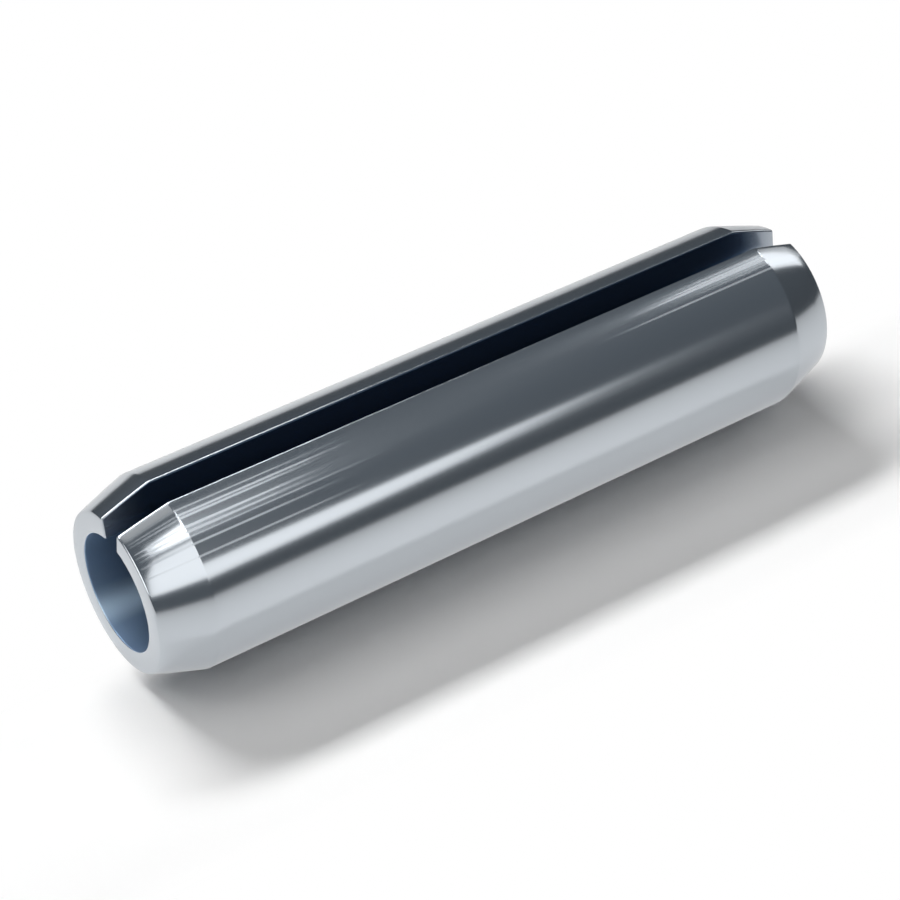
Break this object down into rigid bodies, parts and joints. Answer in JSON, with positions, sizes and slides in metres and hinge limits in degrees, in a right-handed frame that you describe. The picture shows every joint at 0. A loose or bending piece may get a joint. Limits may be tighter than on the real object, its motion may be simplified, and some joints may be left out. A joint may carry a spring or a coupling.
{
  "type": "slotted spring pin",
  "caption": "Slotted spring pin: a thick steel strip rolled into an open tube with a lengthwise slot and a tapered lead at each end.",
  "frame": {"origin": "on the pin's axis, at mid-length", "axes": "+X along the pin's axis, +Z from the axis through the middle of the slot, straight up as the pin lies at rest"},
  "size_m": [0.05, 0.0124, 0.0124],
  "materials": {
    "spring_steel": "bright drawn, with fine lengthwise lines"
  },
  "bodies": {
    "root": {"spring_pin": "spring_steel"}
  },
  "joints": []
}
